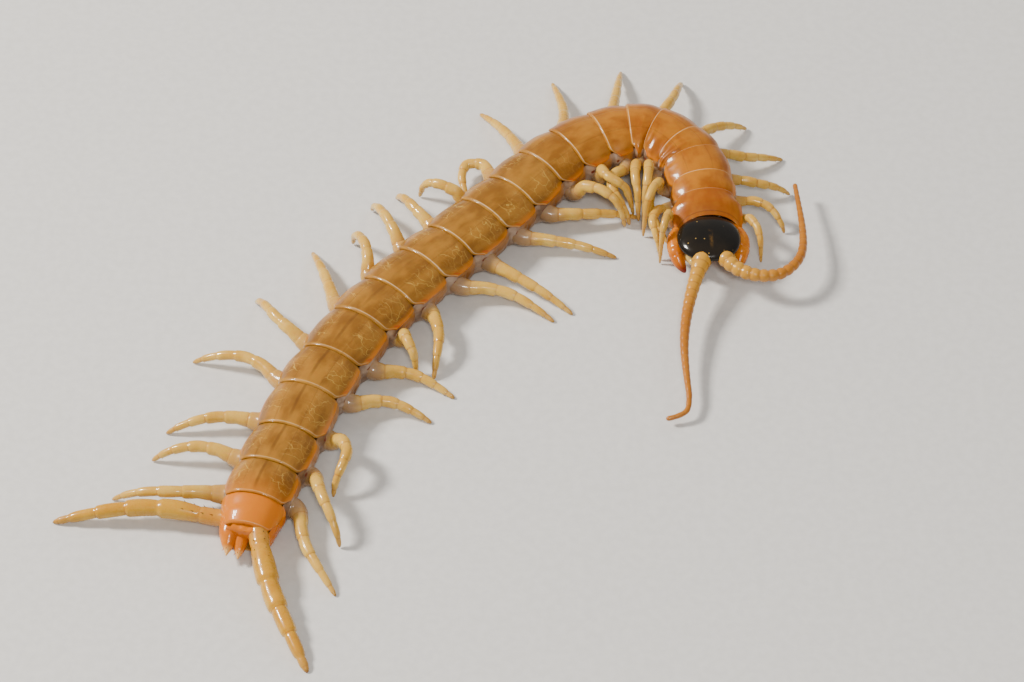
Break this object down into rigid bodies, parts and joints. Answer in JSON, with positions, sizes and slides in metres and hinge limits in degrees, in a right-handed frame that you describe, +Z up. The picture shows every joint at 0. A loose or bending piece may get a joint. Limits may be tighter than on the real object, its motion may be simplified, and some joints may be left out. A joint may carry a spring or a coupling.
{
  "type": "giant centipede",
  "caption": "Giant centipede at life size, still: flat plated trunk with its front curled back beside it, small legs, long antennae, poison claws and stout last legs.",
  "frame": {"origin": "on the floor, below the middle of the space that the whole animal takes", "axes": "+Z up; the trunk lies along the floor from its tail at -X -Y up towards +X +Y, where its front end curls round to the right and back so that the head points to -Y"},
  "size_m": [0.0909, 0.1016, 0.0075],
  "materials": {
    "trunk": "glossy olive-brown to amber cuticle with orange edges",
    "head": "glossy black-brown cuticle",
    "legs": "glossy yellow-tan cuticle",
    "forcipules": "glossy orange cuticle with dark tips",
    "antennae": "glossy orange cuticle, finely ringed"
  },
  "bodies": {
    "root": {"trunk_01_02": "trunk", "trunk_03_04": "trunk", "trunk_05_06": "trunk", "trunk_07_08": "trunk", "trunk_09_10": "trunk", "trunk_11_12": "trunk", "trunk_13_14": "trunk", "trunk_15_16": "trunk", "trunk_17_18": "trunk", "trunk_19_20": "trunk", "trunk_21": "trunk", "head": "head", "antenna_left": "antennae", "antenna_right": "antennae", "forcipule_left": "forcipules", "forcipule_right": "forcipules", "leg_left_01": "legs", "leg_right_01": "legs", "leg_left_02": "legs", "leg_right_02": "legs", "leg_left_03": "legs", "leg_right_03": "legs", "leg_left_04": "legs", "leg_right_04": "legs", "leg_left_05": "legs", "leg_right_05": "legs", "leg_left_06": "legs", "leg_right_06": "legs", "leg_left_07": "legs", "leg_right_07": "legs", "leg_left_08": "legs", "leg_right_08": "legs", "leg_left_09": "legs", "leg_right_09": "legs", "leg_left_10": "legs", "leg_right_10": "legs", "leg_left_11": "legs", "leg_right_11": "legs", "leg_left_12": "legs", "leg_right_12": "legs", "leg_left_13": "legs", "leg_right_13": "legs", "leg_left_14": "legs", "leg_right_14": "legs", "leg_left_15": "legs", "leg_right_15": "legs", "leg_left_16": "legs", "leg_right_16": "legs", "leg_left_17": "legs", "leg_right_17": "legs", "leg_left_18": "legs", "leg_right_18": "legs", "leg_left_19": "legs", "leg_right_19": "legs", "leg_left_20": "legs", "leg_right_20": "legs", "leg_left_21": "legs", "leg_right_21": "legs"}
  },
  "joints": []
}
